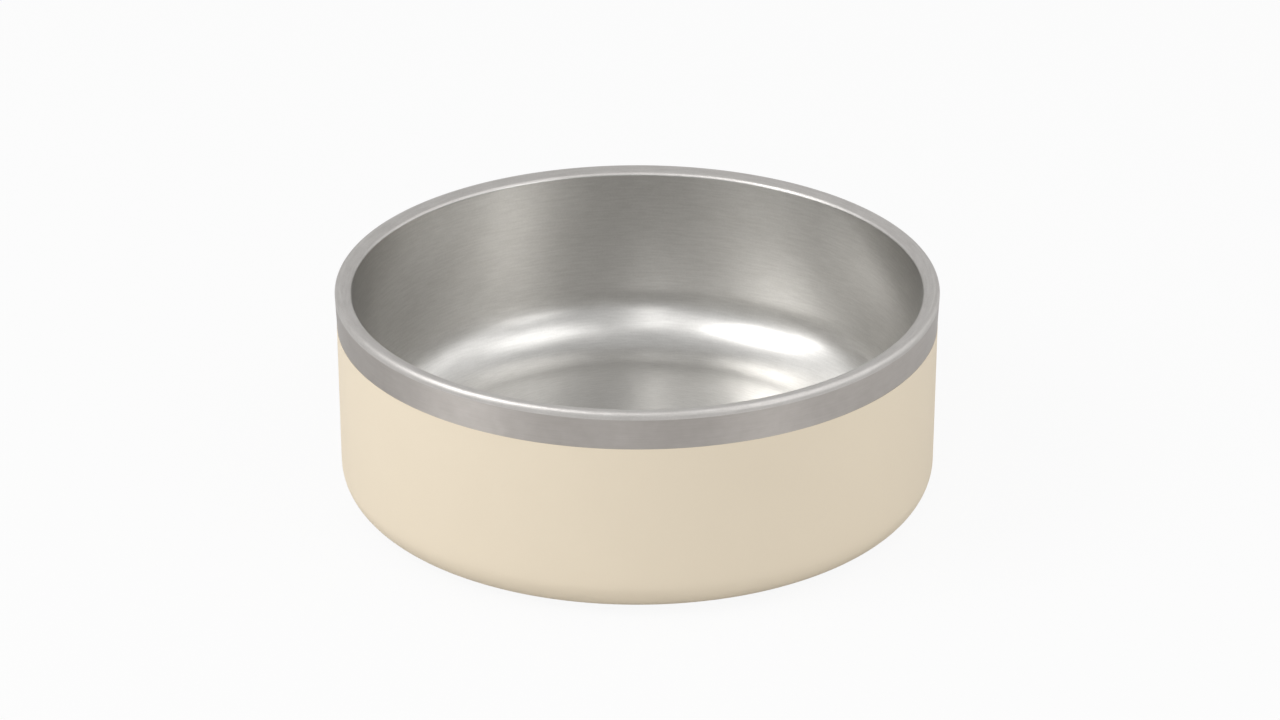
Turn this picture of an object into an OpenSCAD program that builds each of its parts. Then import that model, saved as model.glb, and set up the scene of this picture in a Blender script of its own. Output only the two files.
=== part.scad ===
// Double-walled steel dog bowl: a liner and a shell of pressed sheet, welded together under the rim.
// The shell is powder coated below a bare band, and stands on a rubber ring bonded into its base.
// Millimetres. The origin is the centre of the footprint on the floor, and +Z is up.

/* [Overall] */
// Diameter across the rim
rim_d = 206; // [150:1:260]
// Height from the floor to the top of the lip
height = 76; // [60:1:110]

/* [Lip and band] */
// Width of the lip, from the line of the inner wall to the outer edge
lip_w = 5.65; // [5.4:0.05:12]
// Fall of the lip towards the mouth, in degrees
lip_slope = 20; // [5:1:25]
// Rounding of the lip into the mouth, on the visible face
lip_inner_r = 1.4; // [1.2:0.1:1.8]
// Rounding of the rim's outer edge
rim_edge_r = 1.7; // [1.5:0.1:2.3]
// How far the lip's edge hangs below the rounding
seam_drop = 1; // [0.5:0.1:3]
// Height of the seam weld between the lip's edge and the shell's
weld_h = 0.8; // [0.5:0.1:1.5]
// Height of the bare band, from the top of the lip to the coat
band_h = 13.4; // [8:0.1:25]
// How far the band flares outwards over its height
band_flare = 0.6; // [0.1:0.1:1.5]

/* [Inner bowl] */
// Sheet thickness of the inner bowl
bowl_t = 0.7; // [0.5:0.05:0.9]
// Lean of the inner wall, in degrees
bowl_draft = 1.5; // [0.5:0.1:4]
// Fillet between the inner wall and the floor
bowl_fillet_r = 21; // [8:0.5:30]
// Air space between the foot groove and the underside of the floor
floor_gap = 5.2; // [3:0.1:12]

/* [Outer shell] */
// Sheet thickness of the outer shell
shell_t = 0.7; // [0.5:0.05:0.9]
// Lean of the outer wall, in degrees
shell_draft = 0.6; // [0.1:0.1:1.5]
// Radius of the bottom corner
corner_r = 11.7; // [6:0.1:20]
// Thickness of the powder coat
coat_t = 0.12; // [0.06:0.01:0.3]

/* [Foot] */
// Base between the bottom corner and the foot groove
toe_w = 2.6; // [2.2:0.1:10]
// Depth of the foot groove
groove_depth = 2.4; // [2:0.1:4]
// Inside radius of the groove's bends
groove_bend_r = 0.5; // [0.4:0.1:0.6]
// Width of the foot ring
foot_w = 8; // [5:0.1:14]
// How far the foot ring stands below the base
foot_proud = 1; // [0.6:0.1:3]
// Bevel on the foot ring's edges
foot_bevel = 0.7; // [0.6:0.05:1]
// Play between the foot ring and the sides of the groove
foot_play = 0.3; // [0.1:0.05:0.6]
// Thickness of the bond film above the foot ring
bond_t = 0.2; // [0.1:0.05:0.4]

/* [Vent] */
// Diameter of the vent hole in the middle of the base
vent_d = 4; // [2:0.5:8]
// How far the plug's head and barb reach past the hole
plug_reach = 1.5; // [1:0.1:3]
// Thickness of the plug's head, below the base
plug_head_t = 0.4; // [0.2:0.05:0.5]
// Thickness of the plug's barb, above the base
plug_barb_t = 1.2; // [0.6:0.1:2]

/* [Hidden] */

$fn = 180;

// How far the chords of a bend may lie off its arc
bend_sag = 0.02;

steel = [0.72, 0.71, 0.69];
band_steel = [0.66, 0.65, 0.63];
cream = [0.89, 0.84, 0.75];
rubber_grey = [0.16, 0.16, 0.17];
bond_clear = [0.78, 0.76, 0.70];

// A pressed line is a list of [r, z, bend radius] corners, run through outwards from the axis

// Direction from one corner of a line to the next, in degrees
function heading(from, to) = atan2(to.y - from.y, to.x - from.x);

// Unit vectors along a heading and to the left of it
function along(angle) = [cos(angle), sin(angle)];
function left_of(angle) = [-sin(angle), cos(angle)];

// Point where a line through p on one heading meets a line through q on another
function meet(p, p_angle, q, q_angle) =
    p + along(p_angle) * cross(q - p, along(q_angle)) / cross(along(p_angle), along(q_angle));

// Corner of a pressed line at a point
function corner_at(point, bend_r = 0) = [point.x, point.y, bend_r];

// Points at one corner of a line, drawn a distance to the left of it: an arc, or a mitre where there is no bend
function bend_points(line, i, left) =
    let (
        last = len(line) - 1,
        start = heading(line[max(i - 1, 0)], line[max(i, 1)]),
        turn = heading(line[min(i, last - 1)], line[min(i + 1, last)]) - start,
        corner = [line[i].x, line[i].y],
        mitre = left_of(start + turn / 2) / cos(turn / 2),
        bend_r = sign(turn) * line[i].z,
        chord_turn = 2 * acos(1 - bend_sag / max(line[i].z, bend_sag)),
        steps = ceil(abs(turn) / chord_turn)
    )
    bend_r == 0
        ? [corner + left * mitre]
        : [for (k = [0 : steps]) corner + bend_r * mitre - (bend_r - left) * left_of(start + turn * k / steps)];

// The whole line, a distance to its left
function face(line, left) = [for (i = [0 : len(line) - 1]) each bend_points(line, i, left)];

// Sheet between a line and the same line moved to its left, turned about the axis
module sheet(line, left) {
    back = face(line, left);
    rotate_extrude() polygon(concat(face(line, 0), [for (i = [1 : len(back)]) back[len(back) - i]]));
}

// Rim: the band runs up into the rounding, and the lip falls from it to the wall of the bowl
rim_r = rim_d / 2;
band_foot = [rim_r - band_flare, height - band_h];
rim_centre = [rim_r - rim_edge_r, height - rim_edge_r];
band_angle = heading(band_foot, rim_centre) - asin(rim_edge_r / norm(rim_centre - band_foot));
lip_edge = rim_centre + rim_edge_r * left_of(lip_slope);
rim_corner = meet(band_foot, band_angle, lip_edge, lip_slope);
seam_z = height - rim_edge_r - seam_drop;
seam_top = meet(band_foot, band_angle, [0, seam_z], 0);
seam_low = meet(band_foot, band_angle, [0, seam_z - weld_h], 0);

// Base of the shell: toe, foot groove and middle panel
base_z = foot_proud;
corner_x = band_foot.x - (band_foot.y - base_z) * tan(shell_draft);
toe_r = corner_x - corner_r * tan(45 - shell_draft / 2);
groove_outer_r = toe_r - toe_w;
groove_inner_r = groove_outer_r - foot_w - 2 * (foot_play + coat_t);
groove_z = base_z + groove_depth;
mouth_bend_r = groove_bend_r + shell_t;
vent_r = vent_d / 2;

// Wall of the bowl, from the floor to the lip
floor_z = groove_z + shell_t + floor_gap + bowl_t;
wall_top = [rim_r - lip_w, height];
wall_angle = 90 - bowl_draft;
mouth_corner = meet(wall_top, wall_angle, lip_edge, lip_slope);
floor_corner = meet(wall_top, wall_angle, [0, floor_z], 0);

// Foot ring, between the coated sides of the groove
foot_outer_r = groove_outer_r - foot_play - coat_t;
foot_inner_r = foot_outer_r - foot_w;
foot_top = groove_z - coat_t - bond_t;

bowl_line = [
    [0, floor_z, 0],
    corner_at(floor_corner, bowl_fillet_r),
    corner_at(mouth_corner, lip_inner_r),
    corner_at(rim_corner, rim_edge_r),
    corner_at(seam_top),
];
coated_line = [
    [vent_r, base_z, 0],
    [groove_inner_r, base_z, mouth_bend_r],
    [groove_inner_r, groove_z, groove_bend_r],
    [groove_outer_r, groove_z, groove_bend_r],
    [groove_outer_r, base_z, mouth_bend_r],
    [corner_x, base_z, corner_r],
    corner_at(band_foot),
];

// Liner: the floor, the fillet, the wall and the lip, which is curled over the rim's edge
module inner_bowl() color(steel) sheet(bowl_line, -bowl_t);

// Shell: the base with its foot groove and vent hole, the bottom corner, the wall and the flared band
module outer_shell() color(band_steel) sheet(concat(coated_line, [corner_at(seam_low)]), shell_t);

// Seam weld between the edges of the two sheets, ground flush with the band
module rim_weld() color(steel) sheet([corner_at(seam_low), corner_at(seam_top)], max(bowl_t, shell_t));

// Coat on everything outside the shell below the band
module powder_coat() color(cream) sheet(coated_line, -coat_t);

// Rubber ring in the foot groove, flat below and above, with bevelled edges
module foot_ring() color(rubber_grey) rotate_extrude() polygon([
    [foot_inner_r + foot_bevel, 0],
    [foot_outer_r - foot_bevel, 0],
    [foot_outer_r, foot_bevel],
    [foot_outer_r, foot_top - foot_bevel],
    [foot_outer_r - foot_bevel, foot_top],
    [foot_inner_r + foot_bevel, foot_top],
    [foot_inner_r, foot_top - foot_bevel],
    [foot_inner_r, foot_bevel],
]);

// Bond film between the flat top of the foot ring and the roof of the groove
module foot_adhesive() color(bond_clear) rotate_extrude()
    translate([foot_inner_r + foot_bevel, foot_top]) square([foot_w - 2 * foot_bevel, bond_t]);

// Soft plug in the vent hole: a flat head below the base, a stem and a barb inside
module vent_plug() color(rubber_grey) {
    head_z = base_z - coat_t;
    barb_z = base_z + shell_t;
    head_r = vent_r + plug_reach;
    rotate_extrude() polygon([
        [0, head_z - plug_head_t],
        [head_r, head_z - plug_head_t],
        [head_r, head_z],
        [vent_r, head_z],
        [vent_r, barb_z],
        [head_r, barb_z],
        [vent_r, barb_z + plug_barb_t],
        [0, barb_z + plug_barb_t],
    ]);
}

inner_bowl();
outer_shell();
rim_weld();
powder_coat();
foot_ring();
foot_adhesive();
vent_plug();
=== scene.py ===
import math

import bpy
import numpy as np
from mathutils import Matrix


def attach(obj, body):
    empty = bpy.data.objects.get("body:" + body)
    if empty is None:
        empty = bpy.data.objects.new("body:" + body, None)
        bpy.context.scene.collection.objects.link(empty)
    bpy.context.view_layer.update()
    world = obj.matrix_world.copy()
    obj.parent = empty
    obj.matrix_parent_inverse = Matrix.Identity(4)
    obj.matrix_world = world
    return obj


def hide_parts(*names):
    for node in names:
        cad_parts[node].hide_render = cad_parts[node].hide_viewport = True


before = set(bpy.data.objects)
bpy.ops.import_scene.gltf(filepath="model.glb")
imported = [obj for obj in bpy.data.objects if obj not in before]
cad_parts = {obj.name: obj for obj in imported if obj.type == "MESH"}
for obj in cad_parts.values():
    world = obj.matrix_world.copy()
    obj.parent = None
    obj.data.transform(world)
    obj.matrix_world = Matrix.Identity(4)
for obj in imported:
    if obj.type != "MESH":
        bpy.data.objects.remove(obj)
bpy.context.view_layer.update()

# Inner bowl: the liner, deep drawn from one stainless sheet, with a flat floor, a wide fillet, a steep wall and a
# lip that slopes to the mouth and curls over the rim. It is blasted to a satin, roughest on the floor, and
# dressed round the axis to a fine grain with faint rings. The lip is ground matte.
rim_r, height = 103.0, 76.0  # millimetres, as all sizes of the pieces
lip_w, lip_slope, lip_inner_r, rim_edge_r, seam_drop = 5.65, math.radians(20.0), 1.4, 1.7, 1.0
band_h, band_flare = 13.4, 0.6
bowl_t, bowl_draft, bowl_fillet_r, floor_z = 0.7, math.radians(1.5), 21.0, 10.0


def meet(p, p_angle, q, q_angle):
    """Where two lines cross: along the first by the cross product of the gap and the second heading, over that
    of the two headings."""
    ahead = np.array([math.cos(p_angle), math.sin(p_angle)])
    other = np.array([math.cos(q_angle), math.sin(q_angle)])
    gap = np.subtract(q, p)
    gap_cross = gap[0] * other[1] - gap[1] * other[0]
    ahead_cross = ahead[0] * other[1] - ahead[1] * other[0]
    return np.asarray(p) + ahead * gap_cross / ahead_cross


def pressed_face(corners, left=0.0, row=2.0, bend_step=math.radians(6.0)):
    """Points of one face of a pressed sheet, in (r, z), at most a row apart. The line runs straight between its
    (r, z, bend radius) corners, and each bend is an arc about its own centre, in steps of at most bend_step. The
    face lies a distance to the left of the line."""
    corners = np.array(corners, float)
    runs = np.diff(corners[:, :2], axis=0)
    headings = np.arctan2(runs[:, 1], runs[:, 0])
    start = np.append(headings[:1], headings)
    turn = np.append(headings, headings[-1:]) - start
    points = []
    for (r, z, bend), begin, swing in zip(corners, start, turn):
        middle = begin + swing / 2
        mitre = np.array([-math.sin(middle), math.cos(middle)]) / math.cos(swing / 2)
        radius = math.copysign(bend, swing)
        steps = max(math.ceil(abs(swing) / bend_step), math.ceil(abs(bend * swing) / row)) if bend else 0
        angle = begin + swing * np.linspace(0, 1, steps + 1)[:, None]
        centre = np.array([r, z]) + radius * mitre
        arc = centre - (radius - left) * np.hstack([-np.sin(angle), np.cos(angle)])
        points.append(arc if bend else np.array([[r, z]]) + left * mitre)
    path = np.vstack(points)
    length = np.append(0, np.cumsum(np.hypot(*np.diff(path, axis=0).T)))
    spans = zip(length, length[1:])
    rows = [np.linspace(a, b, max(math.ceil((b - a) / row), 1), endpoint=False) for a, b in spans]
    at = np.append(np.concatenate(rows), length[-1])
    return np.column_stack([np.interp(at, length, path[:, 0]), np.interp(at, length, path[:, 1])])


def turned(name, outline, sharp=35.0, around=320):
    """A closed (r, z) outline, run anticlockwise and carried round the axis: point j of turn k stands at
    (r cos a, r sin a, z) with a = 2 pi k / around. A point on the axis is one pole, and the way run along the
    outline, in metres, is kept as the attribute run. Edges that turn by more than sharp degrees stay crisp."""
    mm_per_metre, on_axis = 1000, 1e-9
    r, z = np.asarray(outline).T / mm_per_metre
    ring = r > on_axis
    per_row = np.where(ring, around, 1)
    first = np.cumsum(np.append(0, per_row))[:-1]
    index = first[:, None] + np.where(ring[:, None], np.arange(around), 0)
    a = 2 * np.pi * np.arange(around) / around
    level_z = np.broadcast_to(z[:, None], (len(z), around))
    grid = np.stack([r[:, None] * np.cos(a), r[:, None] * np.sin(a), level_z], -1)
    keep = ring[:, None] | (np.arange(around) == 0)
    low, high = index, np.roll(index, -1, 0)
    faces = np.stack([low, np.roll(low, -1, 1), np.roll(high, -1, 1), high], -1)
    next_ring = np.roll(ring, -1)
    quads = faces[ring & next_ring].reshape(-1, 4).tolist()
    to_pole = faces[ring & ~next_ring][..., [0, 1, 2]].reshape(-1, 3).tolist()
    from_pole = faces[~ring & next_ring][..., [0, 2, 3]].reshape(-1, 3).tolist()
    mesh = bpy.data.meshes.new(name)
    mesh.from_pydata(grid[keep], [], quads + to_pole + from_pole)
    mesh.polygons.foreach_set("use_smooth", np.ones(len(mesh.polygons), bool))
    way = np.cumsum(np.append(0, np.hypot(np.diff(r), np.diff(z))))
    run = mesh.attributes.new("run", "FLOAT", "POINT")
    run.data.foreach_set("value", np.repeat(way, per_row).astype(np.float32))
    ahead = np.arctan2(np.roll(z, -1) - z, np.roll(r, -1) - r)
    swing = np.abs((ahead - np.roll(ahead, 1) + np.pi) % (2 * np.pi) - np.pi)
    crisp = np.repeat(swing > math.radians(sharp), per_row)
    row_of = np.repeat(np.arange(len(r)), per_row)
    ends = np.empty(len(mesh.edges) * 2, np.int32)
    mesh.edges.foreach_get("vertices", ends)
    one, other = ends.reshape(-1, 2).T
    edge = mesh.attributes.new("sharp_edge", "BOOLEAN", "EDGE")
    edge.data.foreach_set("value", crisp[one] & (row_of[one] == row_of[other]))
    piece = bpy.data.objects.new(name, mesh)
    bpy.context.scene.collection.objects.link(piece)
    return piece


def pressed_sheet(name, line, right, right_row, left, left_row):
    """A sheet between two faces of a line, each given by its distance to the line's left and the length of its
    rows: out along the right-hand face and back along the left-hand one, carried round the axis."""
    back = pressed_face(line, left, left_row)[::-1]
    return turned(name, np.vstack([pressed_face(line, right, right_row), back]))


class Shade:
    """A shader socket that can be added, taken away and multiplied; each sign adds a Math node."""

    def __init__(self, socket):
        self.socket = socket

    def node(self, kind, settings, sockets, out=0):
        """Adds a node of a type to the same tree: its settings first, then its sockets' values or links."""
        made = self.socket.id_data.nodes.new(kind)
        for key, value in settings.items():
            setattr(made, key, value)
        for key, value in sockets.items():
            if isinstance(value, Shade):
                self.socket.id_data.links.new(value.socket, made.inputs[key])
            else:
                made.inputs[key].default_value = value
        return Shade(made.outputs[out])

    def math(self, sign, a, b):
        return self.node("ShaderNodeMath", {"operation": sign}, {0: a, 1: b})

    def __add__(self, other):
        return self.math("ADD", self, other)

    def __sub__(self, other):
        return self.math("SUBTRACT", self, other)

    def __rsub__(self, other):
        return self.math("SUBTRACT", other, self)

    def __mul__(self, other):
        return self.math("MULTIPLY", self, other)

    __radd__, __rmul__ = __add__, __mul__

    def feed(self, shader, socket):
        """Links this value to a socket of the shader."""
        self.socket.id_data.links.new(self.socket, shader.inputs[socket])


def finish(name, colour, roughness, **constants):
    """A new material: its shader, with the plain colour, the roughness and the constants on its own sockets, and
    its Object coordinates."""
    material = bpy.data.materials.new(name)
    material.use_nodes = True
    shader = material.node_tree.nodes["Principled BSDF"]
    shader.inputs["Base Color"].default_value = (*colour, 1)
    shader.inputs["Roughness"].default_value = roughness
    for socket, value in constants.items():
        shader.inputs[socket.replace("_", " ")].default_value = value
    place = material.node_tree.nodes.new("ShaderNodeTexCoord")
    return material, shader, Shade(place.outputs["Object"])


def noise(place, scale, detail=2.0):
    """Soft noise about 0.5, with lumps of about 1 / scale."""
    return place.node("ShaderNodeTexNoise", {}, {"Vector": place, "Scale": scale, "Detail": detail})


def level(place):
    """The way out from the axis to a place: its height is left out."""
    return place.node("ShaderNodeVectorMath", {"operation": "MULTIPLY"}, {0: place, 1: (1, 1, 0)})


def rings(place, round_scale, run_scale, detail=2.0):
    """Noise drawn out round the axis: read at (k cos a, k sin a, K run), where k and K are the two scales and run
    is the way along the profile."""
    way = place.node("ShaderNodeVectorMath", {"operation": "NORMALIZE"}, {0: level(place)})
    turned_way = place.node("ShaderNodeVectorMath", {"operation": "SCALE"}, {0: way, "Scale": round_scale})
    run = place.node("ShaderNodeAttribute", {"attribute_name": "run"}, {}, "Fac")
    lift = place.node("ShaderNodeCombineXYZ", {}, {"Z": run * run_scale})
    at = place.node("ShaderNodeVectorMath", {"operation": "ADD"}, {0: turned_way, 1: lift})
    return noise(at, 1.0, detail)


def vary(middle, *layers):
    """A middle value, plus for each (weight, noise) layer the noise's swing about 0.5 times its weight."""
    for weight, layer in layers:
        middle = middle + weight * (layer - 0.5)
    return middle


def step(value, low, high):
    """0 below the low end, 1 above the high end, and a smooth step between."""
    ends = {"Value": value, "From Min": low, "From Max": high}
    return value.node("ShaderNodeMapRange", {"interpolation_type": "SMOOTHSTEP"}, ends)


def blend(amount, low, high):
    """A colour between two, written or wired, by an amount from 0 to 1."""
    low, high = (end if isinstance(end, Shade) else (*end, 1) for end in (low, high))
    colour_a, colour_b, colour_out = 6, 7, 2  # sockets of Mix that share their names with others
    ends = {"Factor": amount, colour_a: low, colour_b: high}
    return amount.node("ShaderNodeMix", {"data_type": "RGBA"}, ends, colour_out)


def shades(tone, colour, spread):
    """A colour that a tone from 0 to 1 takes from spread darker to spread lighter."""
    return blend(tone, np.subtract(colour, spread), np.add(colour, spread))


def bump(relief, strength, depth):
    """A normal tilted by a relief from 0 to 1 that is depth metres deep."""
    return relief.node("ShaderNodeBump", {}, {"Strength": strength, "Distance": depth, "Height": relief})


band_foot = (rim_r - band_flare, height - band_h)
rim_centre = np.array([rim_r - rim_edge_r, height - rim_edge_r])
to_rim = rim_centre - band_foot
band_angle = math.atan2(to_rim[1], to_rim[0]) - math.asin(rim_edge_r / np.hypot(*to_rim))
lip_edge = rim_centre + rim_edge_r * np.array([-math.sin(lip_slope), math.cos(lip_slope)])
wall_top, wall_angle = (rim_r - lip_w, height), math.pi / 2 - bowl_draft
seam_z = height - rim_edge_r - seam_drop
seam_top = meet(band_foot, band_angle, (0, seam_z), 0)
bowl_line = [
    (0, floor_z, 0),
    (*meet(wall_top, wall_angle, (0, floor_z), 0), bowl_fillet_r),
    (*meet(wall_top, wall_angle, lip_edge, lip_slope), lip_inner_r),
    (*meet(band_foot, band_angle, lip_edge, lip_slope), rim_edge_r),
    (*seam_top, 0),
]
inner_bowl = pressed_sheet("inner_bowl_satin", bowl_line, right=-bowl_t, right_row=6.0, left=0, left_row=1.2)
blasted_steel, ground_steel, steel_spread = (0.64, 0.63, 0.61), (0.60, 0.58, 0.56), 0.06
floor_rough, fillet_rough, wall_rough, lip_rough = 0.37, 0.305, 0.285, 0.50
floor_ends, wall_begins, lip_begins = (0.0101, 0.0115), (0.0260, 0.0320), (0.0973, 0.09755)  # metres
satin_steel, shader, place = finish("liner_satin", blasted_steel, wall_rough, Metallic=1)
grain = noise(place, scale=1500, detail=1.0)
dressing = rings(place, round_scale=14, run_scale=1300)
blotch = noise(place, scale=90, detail=3.0)
tone = vary(0.5, (0.6, grain), (1.2, dressing), (0.4, blotch))
up = place.node("ShaderNodeSeparateXYZ", {}, {0: place}, "Z")
out = place.node("ShaderNodeVectorMath", {"operation": "LENGTH"}, {0: level(place)}, "Value")
off_floor, on_wall, on_lip = step(up, *floor_ends), step(up, *wall_begins), step(out, *lip_begins)
blasted, ground = (shades(tone, steel, steel_spread) for steel in (blasted_steel, ground_steel))
blend(on_lip, blasted, ground).feed(shader, "Base Color")
rough = floor_rough + (fillet_rough - floor_rough) * off_floor + (wall_rough - fillet_rough) * on_wall
rough = rough + (lip_rough - wall_rough) * on_lip
vary(rough, (0.03, blotch)).feed(shader, "Roughness")
bump(dressing, strength=0.025, depth=0.00004).feed(shader, "Normal")
inner_bowl.data.materials.append(satin_steel)
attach(inner_bowl, "root")
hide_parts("inner_bowl")

# Outer shell: the second deep-drawn stainless sheet, with the flared band, the wall, the round bottom corner and
# a base with a pressed groove for the foot. Only the band stays bare; it is brushed round the axis with an
# abrasive belt, which leaves long soft streaks.
shell_t, shell_draft, corner_r, base_z, vent_r = 0.7, math.radians(0.6), 11.7, 1.0, 2.0
toe_w, groove_depth, groove_bend_r = 2.6, 2.4, 0.5
foot_w, foot_play, coat_t, weld_h = 8.0, 0.3, 0.12, 0.8
corner_x = band_foot[0] - (band_foot[1] - base_z) * math.tan(shell_draft)
groove_outer_r = corner_x - corner_r * math.tan(math.pi / 4 - shell_draft / 2) - toe_w
groove_inner_r = groove_outer_r - foot_w - 2 * (foot_play + coat_t)
groove_z, mouth_bend_r = base_z + groove_depth, groove_bend_r + shell_t
seam_low = meet(band_foot, band_angle, (0, seam_z - weld_h), 0)
coated_line = [
    (vent_r, base_z, 0),
    (groove_inner_r, base_z, mouth_bend_r),
    (groove_inner_r, groove_z, groove_bend_r),
    (groove_outer_r, groove_z, groove_bend_r),
    (groove_outer_r, base_z, mouth_bend_r),
    (corner_x, base_z, corner_r),
    (*band_foot, 0),
]
shell_line = [*coated_line, (*seam_low, 0)]
outer_shell = pressed_sheet("outer_shell_band", shell_line, right=0, right_row=4.0, left=shell_t, left_row=8.0)
brushed_steel, brushed_spread, brushed_rough = (0.49, 0.46, 0.435), 0.06, 0.42
band_steel, shader, place = finish(
    "band_brushed", brushed_steel, brushed_rough, Metallic=1, Anisotropic=0.85, Anisotropic_Rotation=0.25,
)
streak = rings(place, round_scale=9, run_scale=2200)
wipe = rings(place, round_scale=26, run_scale=260, detail=3.0)
blotch = noise(place, scale=60, detail=3.0)
tone = vary(0.5, (0.5, streak), (0.7, wipe), (0.5, blotch))
shades(tone, brushed_steel, brushed_spread).feed(shader, "Base Color")
vary(brushed_rough, (0.10, wipe)).feed(shader, "Roughness")
bump(streak, strength=0.1, depth=0.00003).feed(shader, "Normal")
outer_shell.data.materials.append(band_steel)
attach(outer_shell, "root")
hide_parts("outer_shell")

# Rim weld: the steel seam between the lip's edge and the shell's edge, run round by laser. It is ground flush and
# brushed with the band, so that no line shows.
weld_line = [(*seam_low, 0), (*seam_top, 0)]
rim_weld = pressed_sheet("rim_weld_seam", weld_line, right=0, right_row=0.4, left=bowl_t, left_row=2.0)
rim_weld.data.materials.append(band_steel)
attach(rim_weld, "root")
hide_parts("rim_weld")

# Powder coat: a baked resin film on everything outside the shell below the band, sprayed on as powder, so it is
# matte cream with a very fine orange peel.
powder_coat = pressed_sheet("powder_coat_cream", coated_line, right=-coat_t, right_row=2.0, left=0, left_row=8.0)
cream, cream_spread, coat_rough = (0.77, 0.675, 0.53), (0.025, 0.025, 0.022), 0.6
cream_coat, shader, place = finish("coat_cream", cream, coat_rough, Specular_IOR_Level=0.3)
peel = noise(place, scale=1500, detail=1.0)
cloud = noise(place, scale=25)
shades(vary(0.5, (0.5, cloud), (0.25, peel)), cream, cream_spread).feed(shader, "Base Color")
vary(coat_rough, (0.1, peel)).feed(shader, "Roughness")
bump(peel, strength=0.2, depth=0.00006).feed(shader, "Normal")
powder_coat.data.materials.append(cream_coat)
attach(powder_coat, "root")
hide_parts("powder_coat")

# Foot ring: a moulded rubber ring with bevelled edges, which lies in the groove of the base and stands 1 mm
# proud of it, so that the bowl doesn't slide.
foot_bevel, bond_t = 0.7, 0.2
foot_outer_r = groove_outer_r - foot_play - coat_t
foot_inner_r = foot_outer_r - foot_w
foot_top = groove_z - coat_t - bond_t
foot_ring = turned("foot_ring_rubber", pressed_face([
    (foot_inner_r + foot_bevel, 0, 0),
    (foot_outer_r - foot_bevel, 0, 0),
    (foot_outer_r, foot_bevel, 0),
    (foot_outer_r, foot_top - foot_bevel, 0),
    (foot_outer_r - foot_bevel, foot_top, 0),
    (foot_inner_r + foot_bevel, foot_top, 0),
    (foot_inner_r, foot_top - foot_bevel, 0),
    (foot_inner_r, foot_bevel, 0),
], row=1.0))
clean_rubber, dusty_rubber, rubber_rough = (0.022, 0.022, 0.024), (0.045, 0.044, 0.043), 0.75
foot_rubber, shader, place = finish("foot_rubber_matte", clean_rubber, rubber_rough, Specular_IOR_Level=0.35)
dust = noise(place, scale=160, detail=4.0)
pores = noise(place, scale=1800)
blend(dust, clean_rubber, dusty_rubber).feed(shader, "Base Color")
vary(rubber_rough, (0.2, dust)).feed(shader, "Roughness")
bump(pores, strength=0.3, depth=0.00005).feed(shader, "Normal")
foot_ring.data.materials.append(foot_rubber)
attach(foot_ring, "root")
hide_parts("foot_ring")

# Foot adhesive: the clear bond film between the top of the ring and the roof of the groove, which holds the ring
# in. It is a plain flat film, so the CAD solid stays and only gets its finish.
bond_clear, bond_spread, bond_rough = (0.55, 0.53, 0.46), 0.05, 0.4
bond_film, shader, place = finish("bond_film_clear", bond_clear, bond_rough)
shades(noise(place, scale=300), bond_clear, bond_spread).feed(shader, "Base Color")
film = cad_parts["foot_adhesive"]
film.data.materials.clear()
film.data.materials.append(bond_film)

# Vent plug: a soft rubber plug pressed into the hole in the base, through which the air in the wall space leaves
# while the coat is baked. It has a flat head with a rounded edge, a stem and a barb.
plug_reach, plug_head_t, plug_barb_t, head_round = 1.5, 0.4, 1.2, 0.25
head_z, barb_z, head_r = base_z - coat_t, base_z + shell_t, vent_r + plug_reach
vent_plug = turned("vent_plug_rubber", pressed_face([
    (0, head_z - plug_head_t, 0),
    (head_r, head_z - plug_head_t, head_round),
    (head_r, head_z, 0),
    (vent_r, head_z, 0),
    (vent_r, barb_z, 0),
    (head_r, barb_z, 0),
    (vent_r, barb_z + plug_barb_t, 0),
    (0, barb_z + plug_barb_t, 0),
], row=0.5), around=96)
vent_plug.data.materials.append(foot_rubber)
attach(vent_plug, "root")
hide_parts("vent_plug")

# Studio: the camera at the photograph's angle, a plain white floor, and soft boxes in an even pale room. The
# floor is white to the camera and paper to the rest, and metal sees a white backdrop behind the bowl. All in
# metres, and the floor lies just under the foot ring, so that their faces don't coincide.
camera_at, camera_target = (0, -1.7143, 0.8498), (0.00093, 0, 0.04676)
camera = bpy.data.objects.new("camera", bpy.data.cameras.new("camera"))
camera.data.lens, camera.data.sensor_width = 155.3, 36.0
camera.location = camera_at


def aim(thing, target):
    """Turns a lamp or the camera so that its view runs from where it stands to the target."""
    away = np.subtract(target, thing.location)
    flat = math.hypot(away[0], away[1])
    thing.rotation_euler = (math.pi / 2 + math.atan2(away[2], flat), 0, math.atan2(-away[0], away[1]))


aim(camera, camera_target)
bpy.context.scene.collection.objects.link(camera)
bpy.context.scene.camera = camera


def rays(place):
    """Two flags of Light Path: 1 on rays from the camera, and 1 on rays that metal or glass sends on."""
    camera_ray = place.node("ShaderNodeLightPath", {}, {}, "Is Camera Ray")
    flags = camera_ray.socket.node.outputs
    return camera_ray, Shade(flags["Is Glossy Ray"]) + Shade(flags["Is Transmission Ray"])


def whiten(amount, plain, white, output):
    """Mixes a white shader over the plain one by an amount, and links the mix to the output."""
    layers = {0: amount, 1: Shade(plain.outputs[0]), 2: Shade(white.outputs[0])}
    amount.node("ShaderNodeMixShader", {}, layers).feed(output, "Surface")


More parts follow.
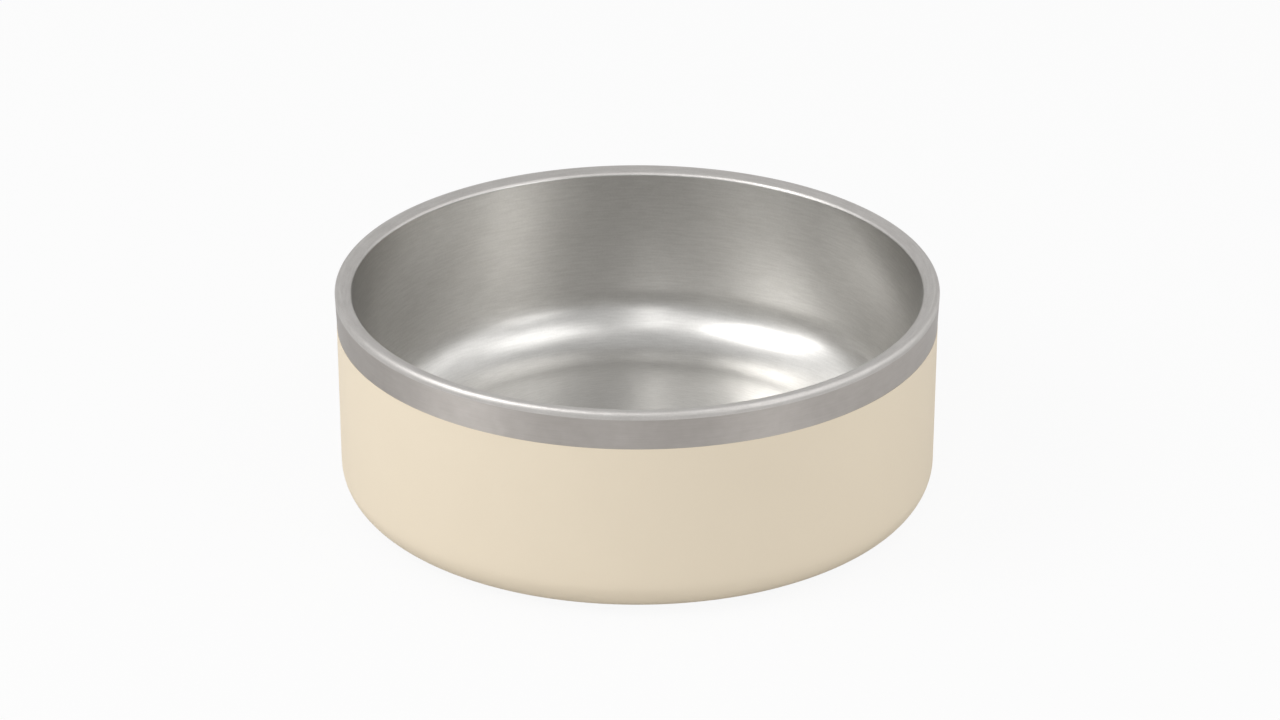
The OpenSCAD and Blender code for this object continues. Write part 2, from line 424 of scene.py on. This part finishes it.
floor_half, floor_drop = 6.0, 0.0002
paper_grey, paper_rough, white_to_camera, white_to_metal = (0.6, 0.6, 0.6), 0.9, 0.92, 0.2
corners = [(x * floor_half, y * floor_half, -floor_drop) for x, y in ((-1, -1), (1, -1), (1, 1), (-1, 1))]
floor_mesh = bpy.data.meshes.new("floor")
floor_mesh.from_pydata(corners, [], [(0, 1, 2, 3)])
floor = bpy.data.objects.new("floor", floor_mesh)
bpy.context.scene.collection.objects.link(floor)
floor_paper, shader, place = finish("floor_paper", paper_grey, paper_rough)
tree = floor_paper.node_tree
glow = tree.nodes.new("ShaderNodeEmission")
to_camera, to_metal = rays(place)
floor_white = white_to_camera * to_camera + white_to_metal * to_metal
whiten(floor_white, shader, glow, tree.nodes["Material Output"])
floor_mesh.materials.append(floor_paper)

room_strength, backdrop_way, backdrop_edge = 0.57, (0, 0.914, 0.407), (0.965, 0.995)
world = bpy.data.worlds.new("studio")
world.use_nodes = True
bpy.context.scene.world = world
tree = world.node_tree
room, backdrop = tree.nodes["Background"], tree.nodes.new("ShaderNodeBackground")
room.inputs["Color"].default_value = backdrop.inputs["Color"].default_value = (1, 1, 1, 1)
room.inputs["Strength"].default_value = room_strength
way = Shade(tree.nodes.new("ShaderNodeTexCoord").outputs["Generated"])
facing = way.node("ShaderNodeVectorMath", {"operation": "DOT_PRODUCT"}, {0: way, 1: backdrop_way}, "Value")
to_camera, to_metal = rays(way)
room_white = to_camera + step(facing, *backdrop_edge) * to_metal
whiten(room_white, room, backdrop, tree.nodes["World Output"])

lamp_distance, lamp_target = 1.8, (0, 0, 0.05)


def soft_box(name, azimuth, elevation, wide, tall, brightness):
    """A rectangular lamp at the lamp distance, given by the degrees of azimuth and elevation that it spans.
    Azimuth 0 is on the camera's side and grows to the right, and brightness 1 is that of a white wall."""
    lamp = bpy.data.objects.new(name, bpy.data.lights.new(name, "AREA"))
    a, e = math.radians(azimuth), math.radians(elevation)
    way_out = np.array([math.cos(e) * math.sin(a), -math.cos(e) * math.cos(a), math.sin(e)])
    lamp.location = lamp_distance * way_out
    lamp.data.shape = "RECTANGLE"
    lamp.data.size = 2 * lamp_distance * math.tan(math.radians(wide) / 2) * math.cos(e)
    lamp.data.size_y = 2 * lamp_distance * math.tan(math.radians(tall) / 2)
    lamp.data.energy = brightness * math.pi * lamp.data.size * lamp.data.size_y
    lamp.visible_camera = False
    aim(lamp, lamp_target)
    bpy.context.scene.collection.objects.link(lamp)


for box in (
    ("key_left", -65, 45, 34, 25, 5.3),
    ("wide_left", -95, 47, 76, 44, 0.38),
    ("low_left", -64, 10, 28, 17, 1.85),
    ("strip_left", -80, 25, 12, 12, 4.0),
    ("front", -6, 28, 10, 12, 2.4),
    ("front_high", -8, 50, 8, 26, 3.0),
    ("front_left", -28, 42, 24, 24, 0.6),
    ("low_right", 47, 15, 26, 17, 2.4),
    ("high_right", 62, 55, 50, 25, 1.2),
    ("wide_right", 80, 48, 90, 40, 0.3),
    ("side_right", 98, 22, 60, 38, 0.55),
):
    soft_box(*box)

bpy.context.scene.view_settings.view_transform = "Standard"
